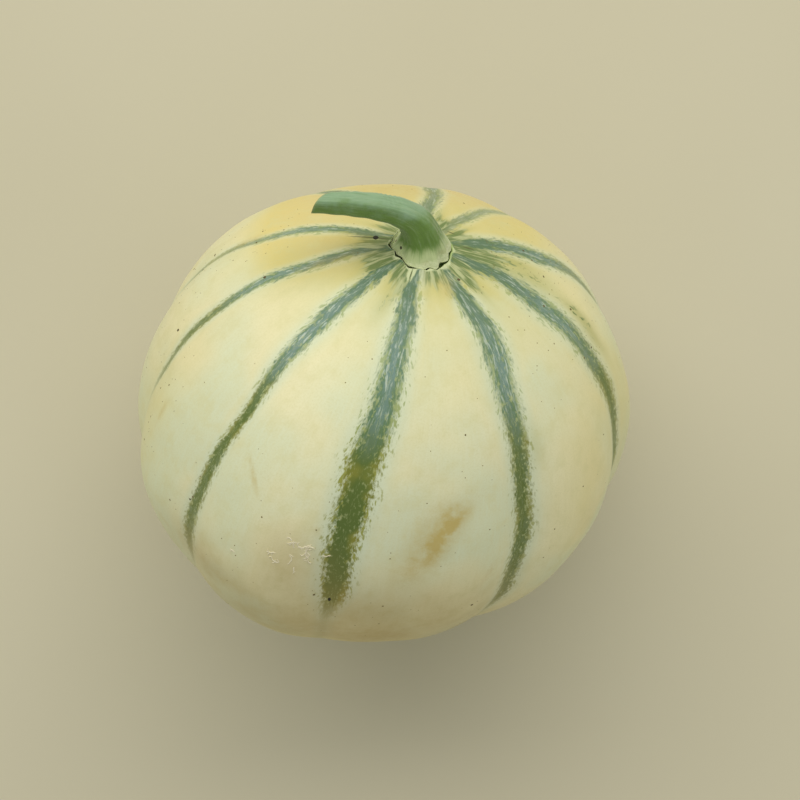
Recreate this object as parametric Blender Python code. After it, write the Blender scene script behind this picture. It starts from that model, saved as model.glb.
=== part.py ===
"""A small ribbed cantaloupe melon of the Charentais kind, whole, with its cut stem.

Units are metres and +Z is up. The origin is on the ground, in the flat spot that the fruit rests
on. The fruit lies part-way over on its side, with its stem end leaning back towards +Y.
"""

import math

import bmesh
import bpy
from mathutils import Matrix, Vector
from mathutils.geometry import interpolate_bezier

# Fruit: sizes are taken from its middle, which is where it is widest.
GROOVE_RADIUS = 0.0579  # from the stem axis out to the bottom of a groove
CROWN_HEIGHT = 0.0581  # from the middle up to the crown, along the stem axis
BLOSSOM_DEPTH = 0.0506  # from the middle down to the blossom end, along the stem axis
CROWN_SQUARENESS = 2.05  # exponent of the profile: 2 is an ellipse, more is squarer
BLOSSOM_SQUARENESS = 1.88
RIB_ROUNDNESS = 2.2  # exponent of a rib's arch from groove to groove

# One line for each rib, going round the stem. The bearing, in degrees, is that of the groove where
# the rib starts. The rise is how far the rib's middle stands proud of its grooves. The fullness is
# how much that side of the fruit bulges past a true round, or falls short of it.
RIBS = (
    # bearing, rise, fullness
    (-92, 0.0016, 0.0000),
    (-66, 0.0020, 0.0013),
    (-33, 0.0010, 0.0045),
    (2, 0.0021, -0.0035),
    (48, 0.0043, -0.0053),
    (91, 0.0011, 0.0021),
    (124, 0.0014, 0.0036),
    (158, 0.0022, 0.0003),
    (188, 0.0015, -0.0038),
    (230, 0.0020, 0.0000),
)
FACES_PER_RIB = 6
FACES_POLE_TO_POLE = 26

# How the fruit lies.
LEAN = 39.0  # degrees that the stem axis leans back from upright
TURN = 17.0  # degrees that the lean is turned from +Y towards +X
GROUND_SPOT_DEPTH = 0.0020  # how far the ground has flattened the lowest point

# Stem: its flared foot stands in a shallow seat in the crown, and it bends over to one side.
FOOT_RADIUS = 0.0070
FOOT_OFFSET = 0.0013  # the foot sits a little off the stem axis, towards the bend
SEAT_DEPTH = 0.0020  # how far the foot reaches below the crown
FOOT_CLEARANCE = 0.0003  # crack all round the foot and under it
STEM_BEARING = -69.0  # the way that the stem bends, on the same scale as the ribs
STEM_REACH = 0.0295  # stem axis to the far end of the stem
STEM_RISE = 0.0122  # crown to the level that the stem bends over to
NECK_LEAN = 0.0026  # how far out the neck has come where it starts to bend
BEND_START = 0.0085  # height of that place above the crown
BEND_END = 0.0070  # how far out the stem has levelled off
STEM_END_RADIUS = 0.0024
CUT_SWING = -33.0  # degrees that the knife's cut is swung sideways from square
CUT_TIP = 15.0  # degrees that the cut is tipped upwards from square
STEM_SIDES = 16
STEM_STEPS = 16

# How thick the stem is on its way up: the share of its course, and the radius there.
STEM_GIRTH = (
    (0.00, FOOT_RADIUS),
    (0.03, 0.0062),
    (0.09, 0.0047),
    (0.18, 0.0039),
    (0.35, 0.0032),
    (0.60, 0.0028),
    (1.00, STEM_END_RADIUS),
)


def smooth(share):
    """Ease a share from 0 to 1 in and out."""
    return share * share * (3 - 2 * share)


def rib_width(index):
    """Degrees from a rib's first groove to its second."""
    start = RIBS[index][0]
    end = RIBS[(index + 1) % len(RIBS)][0]
    return (end - start) % 360


def fullness_at(index, share):
    """Fullness of the fruit part-way across a rib, eased from one rib's middle to the next."""
    neighbour = index + 1 if share > 0.5 else index - 1
    neighbour %= len(RIBS)
    own_half = rib_width(index) / 2
    reach = own_half + rib_width(neighbour) / 2
    step = abs(share - 0.5) * rib_width(index) / reach
    here = RIBS[index][2]
    there = RIBS[neighbour][2]
    return here + (there - here) * smooth(step)


def rib_height(index, share):
    """How far the surface stands out past GROOVE_RADIUS, part-way across a rib."""
    arch = 1 - abs(2 * share - 1) ** RIB_ROUNDNESS
    return RIBS[index][1] * arch + fullness_at(index, share)


def fruit_point(colatitude, index, share):
    """Point on the fruit, with the stem axis along +Z and the middle at the origin."""
    across = abs(math.sin(colatitude))
    along = math.cos(colatitude)
    if along >= 0:
        squareness, half_length = CROWN_SQUARENESS, CROWN_HEIGHT
    else:
        squareness, half_length = BLOSSOM_SQUARENESS, BLOSSOM_DEPTH
    reach = (across**squareness + abs(along) ** squareness) ** (-1 / squareness)
    radius = reach * across * (GROOVE_RADIUS + rib_height(index, share) * across)
    bearing = math.radians(RIBS[index][0] + share * rib_width(index))
    height = reach * along * half_length
    return Vector((radius * math.sin(bearing), -radius * math.cos(bearing), height))


def make_material(name, colour, roughness):
    """Plain material with one colour."""
    material = bpy.data.materials.new(name)
    material.use_nodes = True
    shader = material.node_tree.nodes["Principled BSDF"]
    shader.inputs["Base Color"].default_value = (*colour, 1.0)
    shader.inputs["Roughness"].default_value = roughness
    shader.inputs["Metallic"].default_value = 0.0
    return material


def add_object(name, mesh, parent=None, material=None):
    """Put a mesh in the scene as a named, smooth-shaded object."""
    for polygon in mesh.polygons:
        polygon.use_smooth = True
    obj = bpy.data.objects.new(name, mesh)
    bpy.context.collection.objects.link(obj)
    obj.parent = parent
    if material:
        mesh.materials.append(material)
    return obj


def mesh_from(bm, name):
    """Turn a bmesh into a mesh with its faces pointing outwards."""
    bmesh.ops.recalc_face_normals(bm, faces=bm.faces)
    mesh = bpy.data.meshes.new(name)
    bm.to_mesh(mesh)
    bm.free()
    return mesh


def lying_frame():
    """Turn that lays the upright fruit down."""
    turned = Matrix.Rotation(math.radians(-TURN), 4, "Z")
    leaned = Matrix.Rotation(math.radians(-LEAN), 4, "X")
    return turned @ leaned


def ribbed_fruit():
    """Closed ribbed skin: a sphere whose columns of faces are shared out evenly to the ribs."""
    bm = bmesh.new()
    columns = len(RIBS) * FACES_PER_RIB
    bmesh.ops.create_uvsphere(
        bm, u_segments=columns, v_segments=FACES_POLE_TO_POLE, radius=1.0
    )
    for vertex in bm.verts:
        colatitude = math.acos(max(-1.0, min(1.0, vertex.co.z)))
        turn = math.atan2(vertex.co.y, vertex.co.x) / math.tau
        column = round(turn * columns) % columns
        index, step = divmod(column, FACES_PER_RIB)
        vertex.co = fruit_point(colatitude, index, step / FACES_PER_RIB)
    return bm


def fruit_mesh():
    """Fruit laid down, set on the ground over the origin and flattened where it rests."""
    bm = ribbed_fruit()
    bm.transform(lying_frame())
    lowest = min(bm.verts, key=lambda vertex: vertex.co.z).co.copy()
    middle = Vector((-lowest.x, -lowest.y, -lowest.z - GROUND_SPOT_DEPTH))
    bm.transform(Matrix.Translation(middle))
    everything = bm.verts[:] + bm.edges[:] + bm.faces[:]
    cut = bmesh.ops.bisect_plane(
        bm, geom=everything, plane_co=(0, 0, 0), plane_no=(0, 0, -1), clear_outer=True
    )
    rim = [item for item in cut["geom_cut"] if isinstance(item, bmesh.types.BMEdge)]
    bmesh.ops.contextual_create(bm, geom=rim)
    return mesh_from(bm, "melon_fruit"), middle


def seat_cutter_mesh():
    """Plug that cuts the stem's seat out of the crown, with the clearance round the foot."""
    bm = bmesh.new()
    floor = -SEAT_DEPTH - FOOT_CLEARANCE
    bmesh.ops.create_cone(
        bm,
        cap_ends=True,
        segments=STEM_SIDES,
        radius1=FOOT_RADIUS + FOOT_CLEARANCE,
        radius2=FOOT_RADIUS + FOOT_CLEARANCE,
        depth=-2 * floor,
    )
    return mesh_from(bm, "seat_cutter")


def stem_course():
    """Centres of the stem's rings, with X along the bend and Z up from the crown."""
    foot = Vector((0, 0, 0))
    neck = Vector((NECK_LEAN - FOOT_OFFSET, 0, BEND_START))
    bend = Vector((BEND_END - FOOT_OFFSET, 0, STEM_RISE))
    tip = Vector((STEM_REACH - FOOT_OFFSET, 0, STEM_RISE))
    return interpolate_bezier(foot, neck, bend, tip, STEM_STEPS)


def girth_at(share):
    """Radius of the stem part-way along its course."""
    for (near, thick), (far, thin) in zip(STEM_GIRTH, STEM_GIRTH[1:]):
        if share <= far:
            return thick + (thin - thick) * (share - near) / (far - near)
    return STEM_END_RADIUS


def stem_mesh():
    """Foot, neck and bent-over stem as one lofted tube, cut off at a slant."""
    course = stem_course()
    lengths = [0.0]
    for before, after in zip(course, course[1:]):
        lengths.append(lengths[-1] + (after - before).length)
    side = Vector((0, 1, 0))
    bm = bmesh.new()

    def add_ring(centre, direction, radius):
        outward = side.cross(direction)
        ring = []
        for step in range(STEM_SIDES):
            angle = math.tau * step / STEM_SIDES
            spoke = outward * math.cos(angle) + side * math.sin(angle)
            ring.append(bm.verts.new(centre + spoke * radius))
        return ring

    upright = Vector((0, 0, 1))
    rings = [add_ring(Vector((0, 0, -SEAT_DEPTH)), upright, FOOT_RADIUS)]
    for place, centre in enumerate(course):
        before = course[max(place - 1, 0)]
        after = course[min(place + 1, len(course) - 1)]
        direction = (after - before).normalized() if place else upright
        share = lengths[place] / lengths[-1]
        rings.append(add_ring(centre, direction, girth_at(share)))
    for lower, upper in zip(rings, rings[1:]):
        for step in range(STEM_SIDES):
            after = (step + 1) % STEM_SIDES
            bm.faces.new((lower[step], lower[after], upper[after], upper[step]))
    bm.faces.new(rings[0])
    bm.faces.new(rings[-1])

    swing = Matrix.Rotation(math.radians(CUT_SWING), 3, "Z")
    tip_up = Matrix.Rotation(math.radians(-CUT_TIP), 3, "Y")
    knife = swing @ tip_up @ Vector((1, 0, 0))
    slant_room = STEM_END_RADIUS * math.tan(math.radians(abs(CUT_SWING)))
    everything = bm.verts[:] + bm.edges[:] + bm.faces[:]
    cut = bmesh.ops.bisect_plane(
        bm,
        geom=everything,
        plane_co=course[-1] - Vector((slant_room * 1.2, 0, 0)),
        plane_no=knife,
        clear_outer=True,
    )
    rim = [item for item in cut["geom_cut"] if isinstance(item, bmesh.types.BMEdge)]
    bmesh.ops.contextual_create(bm, geom=rim)
    return mesh_from(bm, "stem")


def main():
    for obj in list(bpy.data.objects):
        bpy.data.objects.remove(obj)

    rind = make_material("melon_rind", (0.72, 0.66, 0.36), 0.5)
    green_stem = make_material("green_stem", (0.20, 0.29, 0.12), 0.6)

    mesh, middle = fruit_mesh()
    fruit = add_object("melon_fruit", mesh, material=rind)

    # Empty at the crown, where the stem stands: +Z is the stem axis and +X is the way it bends.
    foot_place = bpy.data.objects.new("foot_place", None)
    bpy.context.collection.objects.link(foot_place)
    bend_turn = Matrix.Rotation(math.radians(STEM_BEARING - 90), 4, "Z")
    foot_offset = Matrix.Translation((FOOT_OFFSET, 0, CROWN_HEIGHT))
    foot_place.matrix_world = (
        Matrix.Translation(middle) @ lying_frame() @ bend_turn @ foot_offset
    )

    cutter = add_object("seat_cutter", seat_cutter_mesh(), parent=foot_place)
    cutter.hide_render = True
    cutter.display_type = "WIRE"
    seat = fruit.modifiers.new("stem_seat", "BOOLEAN")
    seat.operation = "DIFFERENCE"
    seat.solver = "EXACT"
    seat.object = cutter

    add_object("stem", stem_mesh(), parent=foot_place, material=green_stem)


main()
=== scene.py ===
# %% [markdown]
# # A striped Charentais melon
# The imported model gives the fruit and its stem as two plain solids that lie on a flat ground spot.
# This script makes their looks: a ribbed fruit with a waxy striped rind, and a downy green stalk
# that has begun to crack away from the crown. Lengths are in metres unless a name ends in `_mm`.

# %% Load the frame
import math
from functools import partial

import bpy
import numpy as np
from mathutils import Matrix, Vector
from mathutils.geometry import interpolate_bezier


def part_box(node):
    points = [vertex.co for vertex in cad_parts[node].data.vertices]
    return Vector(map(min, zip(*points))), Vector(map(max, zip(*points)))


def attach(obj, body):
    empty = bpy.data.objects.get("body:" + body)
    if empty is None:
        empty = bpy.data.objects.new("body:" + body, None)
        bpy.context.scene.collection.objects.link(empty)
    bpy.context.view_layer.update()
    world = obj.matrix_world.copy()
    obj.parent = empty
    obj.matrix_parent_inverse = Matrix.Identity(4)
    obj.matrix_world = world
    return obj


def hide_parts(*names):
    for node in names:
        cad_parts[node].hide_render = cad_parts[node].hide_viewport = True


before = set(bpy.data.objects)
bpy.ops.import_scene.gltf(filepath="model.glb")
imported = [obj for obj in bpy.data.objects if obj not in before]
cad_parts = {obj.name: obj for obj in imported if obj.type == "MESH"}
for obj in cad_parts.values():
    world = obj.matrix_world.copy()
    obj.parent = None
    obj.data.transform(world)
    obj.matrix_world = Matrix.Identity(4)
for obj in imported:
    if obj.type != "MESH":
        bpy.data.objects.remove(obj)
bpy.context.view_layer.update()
fruit_low, fruit_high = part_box("melon_fruit")
MM = 0.001


# %% [markdown]
# ## Helpers for every node tree
# A node tree is built by adding nodes, setting them and wiring them up. One function does all of
# that: a value that is itself a socket becomes a link, anything else fills the input in. Another
# turns an sRGB hex colour into the linear colour that shaders work in. A third lays coats of
# colour over one another, as a painter glazes, each through a mask that says where it shows. Every
# new tree comes with `put`, which is the first function with that tree already filled in.

# %% Node and colour helpers
SPLIT, JOIN, MIX = "ShaderNodeSeparateXYZ", "ShaderNodeCombineXYZ", "ShaderNodeMix"
NOISE, RANGE, ATTRIBUTE = "ShaderNodeTexNoise", "ShaderNodeMapRange", "ShaderNodeAttribute"
SUMS = "add subtract multiply multiply_add divide power maximum absolute sine cosine greater_than"
# Short words for the commonest nodes: their type, and the one setting that makes them so.
WORDS = {word: ("ShaderNodeMath", "operation", word.upper()) for word in SUMS.split()}
WORDS["ease"] = (RANGE, "interpolation_type", "SMOOTHSTEP")
WORDS["scale"] = ("ShaderNodeVectorMath", "operation", "SCALE")
WORDS["move"] = ("ShaderNodeVectorMath", "operation", "ADD")


def add(tree, kind, *inputs, out=0, **settings):
    """Add a node and return one of its output sockets.

    The kind is a node type or one of the short words. The inputs come in their order, or as one
    dictionary. A socket among them becomes a link, and anything else fills its input in.
    """
    if kind in WORDS:
        kind, setting, choice = WORDS[kind]
        settings[setting] = choice
    node = tree.nodes.new(kind)
    for name, value in settings.items():
        setattr(node, name, value)
    by_key = inputs[0] if inputs and isinstance(inputs[0], dict) else dict(enumerate(inputs))
    for key, value in by_key.items():
        if isinstance(value, bpy.types.NodeSocket):
            tree.links.new(value, node.inputs[key])
        else:
            node.inputs[key].default_value = value
    return node.outputs[out] if len(node.outputs) else node


def linear(hex_colour):
    """Linear RGBA of an sRGB hex colour."""
    parts = [int(hex_colour[at : at + 2], 16) / 255 for at in (1, 3, 5)]
    parts = [c / 12.92 if c <= 0.04045 else ((c + 0.055) / 1.055) ** 2.4 for c in parts]
    return (*parts, 1.0)


def coats(put, colour, *layers):
    """A colour with more laid over it, each through its mask."""
    colour = linear(colour) if isinstance(colour, str) else colour
    for mask, over in layers:
        over = linear(over) if isinstance(over, str) else over
        colour = put(MIX, {0: mask, 6: colour, 7: over}, out=2, data_type="RGBA")
    return colour


def new_material(name):
    """New material with an empty node tree, and what puts nodes into it."""
    material = bpy.data.materials.new(name)
    material.use_nodes = True
    material.node_tree.nodes.clear()
    return material, partial(add, material.node_tree)


def end_material(put, **inputs):
    """End a material's tree in a shader with these inputs, spaces in their names as underscores."""
    named = {name.replace("_", " "): value for name, value in inputs.items()}
    put("ShaderNodeOutputMaterial", {"Surface": put("ShaderNodeBsdfPrincipled", named)})


def mottled_material(name, size, detail, colour, other, **inputs):
    """Material of two colours that run into one another in patches of a size in metres."""
    material, put = new_material(name)
    place = put("ShaderNodeTexCoord", out="Object")
    tone = put(NOISE, {"Vector": place, "Scale": 1 / size, "Detail": detail})
    end_material(put, Base_Color=coats(put, colour, (tone, other)), **inputs)
    return material


def new_object(name, data):
    """New object in the scene."""
    obj = bpy.data.objects.new(name, data)
    bpy.context.collection.objects.link(obj)
    return obj


print("short words:", sorted(WORDS))

# %% [markdown]
# ## The fruit's rule
# A melon is a rounded body with ribs that run from the stalk to the blossom scar. The ribs are
# unequal, because each grew over its own seed chamber, and one side of the fruit is always fuller
# than the other. So the rule is a profile from pole to pole, plus one line of values for each rib.
# These are the sizes that the solid was made with, so the fine skin falls on it.

# %% Sizes of the fruit
GROOVE_RADIUS = 0.0579  # from the stem axis out to the bottom of a groove
CROWN_HEIGHT = 0.0581
BLOSSOM_DEPTH = 0.0506
CROWN_SQUARENESS = 2.05
BLOSSOM_SQUARENESS = 1.88
RIB_ROUNDNESS = 2.2
LEAN = math.radians(39.0)  # how far the stem axis leans back
TURN = math.radians(17.0)  # how far that lean is turned towards +X
FOOT_RADIUS = 0.0070
FOOT_OFFSET = 0.0013
STEM_BEARING = math.radians(-69.0)

# For each rib: bearing of its first groove in degrees, rise of its middle, fullness of that side.
RIBS = np.array(
    [
        (-92, 0.0016, 0.0000),
        (-66, 0.0020, 0.0013),
        (-33, 0.0010, 0.0045),
        (2, 0.0021, -0.0035),
        (48, 0.0043, -0.0053),
        (91, 0.0011, 0.0021),
        (124, 0.0014, 0.0036),
        (158, 0.0022, 0.0003),
        (188, 0.0015, -0.0038),
        (230, 0.0020, 0.0000),
    ]
)
rib_count = len(RIBS)
rib_start = np.radians(RIBS[:, 0])
rib_width = (np.roll(rib_start, -1) - rib_start) % math.tau
print("rib widths at the middle, mm:", np.round(rib_width * GROOVE_RADIUS / MM, 1))


# %% [markdown]
# ## A net to wrap round the fruit
# The skin is a net of columns and rings. The columns are shared out evenly to the ribs, so that a
# column runs down every groove. The rings lie close together round the stalk, where the cracked
# edge and the star of stripes need fine faces, and further apart on the flanks. A subdivided
# sphere would put its fine faces in the wrong places.

# %% Columns and rings of the net
COLUMNS_PER_RIB = 44
CREASE_WIDTH = 0.0012  # a groove is rounded over about this much to each side
CREASE_FADE = 0.008
SEAT_DEPTH = 0.0021
columns = rib_count * COLUMNS_PER_RIB
column_rib = np.repeat(np.arange(rib_count), COLUMNS_PER_RIB)
column_share = np.tile(np.arange(COLUMNS_PER_RIB) / COLUMNS_PER_RIB, rib_count)
column_bearing = rib_start[column_rib] + column_share * rib_width[column_rib]

# Distance from the nearer groove, with its sharp bottom rounded off.
column_reach = rib_width[column_rib] * GROOVE_RADIUS
from_groove = np.minimum(column_share, 1 - column_share) * column_reach
rounded = np.sqrt(from_groove**2 + CREASE_WIDTH**2)
rounded -= CREASE_WIDTH * np.exp(-from_groove / CREASE_FADE)
column_arch_share = np.clip(rounded / column_reach, 0, 0.5)


def eased(share):
    """Ease a share from 0 to 1 in and out."""
    share = np.clip(share, 0, 1)
    return share * share * (3 - 2 * share)


# The fullness of a column is eased from one rib's middle to the next.
middles = rib_start + rib_width / 2
middles = np.concatenate([[middles[-1] - math.tau], middles, [middles[0] + math.tau]])
fullnesses = np.concatenate([RIBS[-1:, 2], RIBS[:, 2], RIBS[:1, 2]])
before = np.clip(np.searchsorted(middles, column_bearing, side="right") - 1, 0, rib_count)
rib_step = (column_bearing - middles[before]) / (middles[before + 1] - middles[before])
column_fullness = fullnesses[before]
column_fullness = column_fullness + (fullnesses[before + 1] - column_fullness) * eased(rib_step)

# Rings of the seat, as shares of the crack's radius and of the seat's depth, then radii near the
# crown, then steps of arc to the blossom end.
SEAT_RINGS = (
    (0.35, 1.0), (0.80, 1.0), (0.88, 0.95), (0.94, 0.68), (0.99, 0.45), (1.0, 0.25), (1.0, 0.05),
)
near_rings = np.arange(0.0005, 0.0075, 0.0002)
crown_rings = np.arange(0.0146, 0.0250, 0.0004)
FLANK_START, FLANK_RINGS = 0.0254, 128
POLE_GAP = 0.012  # radians from the last ring to the blossom end
flank_start = math.asin(FLANK_START / GROOVE_RADIUS)
flank_angles = np.linspace(flank_start, math.pi - POLE_GAP, FLANK_RINGS)
print("columns", columns, "crown rings", len(near_rings) + len(crown_rings))


# %% [markdown]
# ## Where the stalk has cracked away
# A Charentais melon is ripe when a crack opens round the foot of its stalk. The crack is a jagged
# line: it zigzags through the skin, it gapes in a few places and stays nearly shut in others. Both
# sides of it follow one jagged ring, so that the foot still fits the skin it tore away from.

# %% The jagged ring
CRACK_SEED = 11
CRACK_TEETH = 34
CRACK_JAG = 0.00055
CRACK_SHUT = 0.00003
crack_rng = np.random.default_rng(CRACK_SEED)
tooth_bearing = np.sort(np.arange(CRACK_TEETH) + crack_rng.uniform(-0.3, 0.3, CRACK_TEETH))
tooth_bearing *= math.tau / CRACK_TEETH
tooth_out = crack_rng.uniform(-1, 1, CRACK_TEETH) * CRACK_JAG

# Where the crack gapes: bearing in degrees, width in mm, how many degrees it runs to each side.
GAPES = (
    (58, 1.15, 12), (28, 0.55, 9), (-4, 0.40, 8), (-38, 0.55, 9), (95, 0.45, 12), (-75, 0.3, 10),
)


def turned_from(bearings, degrees):
    """How far bearings lie from one in degrees, the short way round, in radians."""
    return np.mod(bearings - math.radians(degrees) + math.pi, math.tau) - math.pi


def crack_edge(bearing):
    """Radius of the crack's outer side, at a bearing round the foot."""
    out = np.interp(np.mod(bearing, math.tau), tooth_bearing, tooth_out, period=math.tau)
    swing = 0.00035 * np.sin(2 * bearing + 0.7) + 0.00025 * np.sin(5 * bearing + 2.0)
    return FOOT_RADIUS + 0.0003 + out + swing


def crack_gap(bearing):
    """Width of the crack at a bearing round the foot."""
    gap = np.full_like(bearing, CRACK_SHUT)
    for centre, width, spread in GAPES:
        gap += width * MM * np.exp(-((turned_from(bearing, centre) / math.radians(spread)) ** 2))
    return gap


print("crack radius mm", np.round(crack_edge(column_bearing[::COLUMNS_PER_RIB]) / MM, 2))

# %% Fill the net in
JAG_REACH = 0.0022  # how far out from the crack its jagged line still shapes the rings
LIP_FADE = 0.0012  # how far out the lip of the torn edge falls back to the skin
edge = crack_edge(column_bearing)
lip = 0.00016 + 0.00014 * np.sin(7 * column_bearing) * np.sin(3 * column_bearing + 1.0)
# One pair of arrays for each ring: radius from the foot's middle, depth pressed in.
net_rings = [(edge * share, np.full(columns, SEAT_DEPTH * depth)) for share, depth in SEAT_RINGS]
net_rings += [(edge + 0.00012, -0.6 * lip), (edge + 0.0003, -lip)]
for step in near_rings:
    jag = (edge - FOOT_RADIUS) * math.exp(-((step / JAG_REACH) ** 2))
    net_rings.append((FOOT_RADIUS + step + jag, -lip * math.exp(-step / LIP_FADE)))
net_rings += [(np.full(columns, radius), np.zeros(columns)) for radius in crown_rings]
ring_radius, ring_press = (np.array(rows) for rows in zip(*net_rings))

# Near the crown the rings are centred on the foot, and they ease over to the stem axis.
ease_out = FOOT_OFFSET * (1 - eased((ring_radius - 0.008) / 0.016))
place_x = ring_radius * np.sin(column_bearing) + ease_out * math.sin(STEM_BEARING)
place_y = -ring_radius * np.cos(column_bearing) - ease_out * math.cos(STEM_BEARING)
crown_angle = np.arcsin(np.hypot(place_x, place_y) / GROOVE_RADIUS)
crown_bearing = np.arctan2(place_x, -place_y)
flank_angle = np.repeat(flank_angles[:, None], columns, axis=1)
net_angle = np.vstack([crown_angle, flank_angle])
net_bearing = np.vstack([crown_bearing, np.tile(column_bearing, (FLANK_RINGS, 1))])

# The blossom end is a shallow dimple with a low corky rim.
DIMPLE_DEPTH = 0.0011
from_blossom = (math.pi - flank_angle) * GROOVE_RADIUS
dimple = DIMPLE_DEPTH * np.exp(-((from_blossom / 0.0075) ** 2))
dimple -= 0.0004 * np.exp(-(((from_blossom - 0.0085) / 0.0016) ** 2))
net_press = np.vstack([ring_press, -dimple])
rings = len(net_angle)
print("net of", rings, "rings by", columns, "columns")


# %% Turn the net into a mesh with its values as attributes
def net_mesh(name, points, column_count, poles):
    """Closed mesh of rings of points, with one more point closing each end."""
    ring_count = len(points) // column_count
    ring, column = np.meshgrid(np.arange(ring_count - 1), np.arange(column_count), indexing="ij")
    after = (column + 1) % column_count
    corners = [(ring, column), (ring + 1, column), (ring + 1, after), (ring, after)]
    quads = np.stack([row * column_count + side for row, side in corners], axis=-1).reshape(-1, 4)
    side = np.arange(column_count)
    beside = (side + 1) % column_count
    first = np.stack([np.full(column_count, len(points)), side, beside], axis=-1)
    base = (ring_count - 1) * column_count
    last = np.stack([np.full(column_count, len(points) + 1), base + beside, base + side], axis=-1)
    mesh = bpy.data.meshes.new(name)
    faces = quads.tolist() + first.tolist() + last.tolist()
    mesh.from_pydata(np.vstack([points, poles]).tolist(), [], faces)
    mesh.shade_smooth()
    return mesh


def store(mesh, name, values, kind="FLOAT", domain="POINT"):
    """Give a mesh a named attribute."""
    layer = mesh.attributes.new(name, kind, domain)
    key = {"FLOAT": "value", "FLOAT_VECTOR": "vector"}[kind]
    layer.data.foreach_set(key, np.asarray(values, dtype=np.float32).ravel())


flat_net = net_mesh("flat_net", np.zeros((rings * columns, 3)), columns, np.zeros((2, 3)))
for name, grid, at_first, at_last in (
    ("angle", net_angle, 0.0, math.pi), ("bearing", net_bearing, 0.0, 0.0),
    ("press", net_press, SEAT_DEPTH, -DIMPLE_DEPTH), ("share", column_arch_share, 0.5, 0.5),
    ("rise", RIBS[column_rib, 1], 0.002, 0.002), ("fullness", column_fullness, 0.0, 0.0),
):
    whole_grid = np.broadcast_to(grid, (rings, columns)).ravel()
    store(flat_net, name, np.concatenate([whole_grid, [at_first, at_last]]))
print("net has", len(flat_net.vertices), "points")


# %% [markdown]
# ## Wrapping the net with Geometry Nodes
# Every point of the net knows its angle from the stem axis, its bearing, and the values of its rib.
# The node tree turns those into a place on the fruit: a superellipse gives the profile, an arch
# gives each rib, and noise adds the low lumps that no grown thing is without. A node tree is a good
# home for such a rule, because its sizes stay named inputs that can be turned like dials.

# %% A named-input node tree, and how to run it
SOCKETS = {float: "NodeSocketFloat", int: "NodeSocketInt", bpy.types.Material: "NodeSocketMaterial"}
NAMED = "GeometryNodeInputNamedAttribute"


def new_tree(name, dials):
    """Geometry node tree with an input for each dial, what puts nodes into it, and its inputs."""
    tree = bpy.data.node_groups.new(name, "GeometryNodeTree")
    tree.interface.new_socket("Geometry", in_out="INPUT", socket_type="NodeSocketGeometry")
    for label, value in dials.items():
        tree.interface.new_socket(label, in_out="INPUT", socket_type=SOCKETS[type(value)])
    tree.interface.new_socket("Geometry", in_out="OUTPUT", socket_type="NodeSocketGeometry")
    return tree, partial(add, tree), add(tree, "NodeGroupInput").node.outputs


def end_tree(put, geometry, material):
    """Realize what the tree has placed, give it its material and hand it on."""
    geometry = put("GeometryNodeRealizeInstances", {"Geometry": geometry})
    geometry = put("GeometryNodeSetMaterial", {"Geometry": geometry, "Material": material})
    put("NodeGroupOutput", {"Geometry": geometry})


def run_tree(tree, mesh, dials, name):
    """Run a node tree on a mesh and return the result as a new object with a plain mesh."""
    carrier = new_object(name + "_carrier", mesh)
    modifier = carrier.modifiers.new("shape", "NODES")
    modifier.node_group = tree
    sockets = {s.name: s.identifier for s in tree.interface.items_tree if s.in_out == "INPUT"}
    for label, value in dials.items():
        modifier[sockets[label]] = value
    bpy.context.view_layer.update()
    evaluated = carrier.evaluated_get(bpy.context.evaluated_depsgraph_get())
    made = bpy.data.meshes.new_from_object(evaluated)
    made.name = name
    carrier.modifiers.remove(modifier)
    bpy.data.objects.remove(carrier)
    return new_object(name, made)


print("dials may be:", sorted(SOCKETS.values()))

# %% The fruit's node tree
rind, put_rind = new_material("waxy_melon_rind")
fruit_dials = {
    "Groove Radius": GROOVE_RADIUS, "Crown Height": CROWN_HEIGHT, "Blossom Depth": BLOSSOM_DEPTH,
    "Crown Squareness": CROWN_SQUARENESS, "Blossom Squareness": BLOSSOM_SQUARENESS,
    "Rib Roundness": RIB_ROUNDNESS, "Lump Height": 0.0007, "Lump Scale": 60.0, "Rind": rind,
}
wrap, put, given = new_tree("wrap_fruit", fruit_dials)
angle, bearing, press, share, rise, fullness = (
    put(NAMED, {"Name": name}, data_type="FLOAT")
    for name in ("angle", "bearing", "press", "share", "rise", "fullness")
)
sideways = put("sine", angle)
lengthways = put("cosine", angle)
is_crown = put("greater_than", lengthways, 0.0)
squareness, half_length = (
    put(MIX, {0: is_crown, 2: given[blossom], 3: given[crown]})
    for blossom, crown in (
        ("Blossom Squareness", "Crown Squareness"), ("Blossom Depth", "Crown Height"),
    )
)

# Superellipse: (across^n + |along|^n)^(-1/n) is how far out the surface lies.
sideways_part = put("power", sideways, squareness)
lengthways_part = put("power", put("absolute", lengthways), squareness)
both = put("add", sideways_part, lengthways_part)
ellipse = put("power", both, put("divide", -1.0, squareness))

# Arch of the rib: 1 - (1 - 2 share)^roundness, times its rise, plus the fullness of that side.
to_middle = put("multiply_add", share, -2.0, 1.0)
arch = put("subtract", 1.0, put("power", to_middle, given["Rib Roundness"]))
height = put("multiply_add", rise, arch, fullness)
girth = put("multiply_add", height, sideways, given["Groove Radius"])
radius = put("multiply", put("multiply", ellipse, sideways), girth)
level = put("multiply", put("multiply", ellipse, lengthways), half_length)
wrapped = put(
    JOIN,
    put("multiply", radius, put("sine", bearing)),
    put("multiply", put("multiply", radius, -1.0), put("cosine", bearing)),
    put("subtract", level, press),
)
skin_net = put("GeometryNodeSetPosition", {"Geometry": given["Geometry"], "Position": wrapped})

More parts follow.
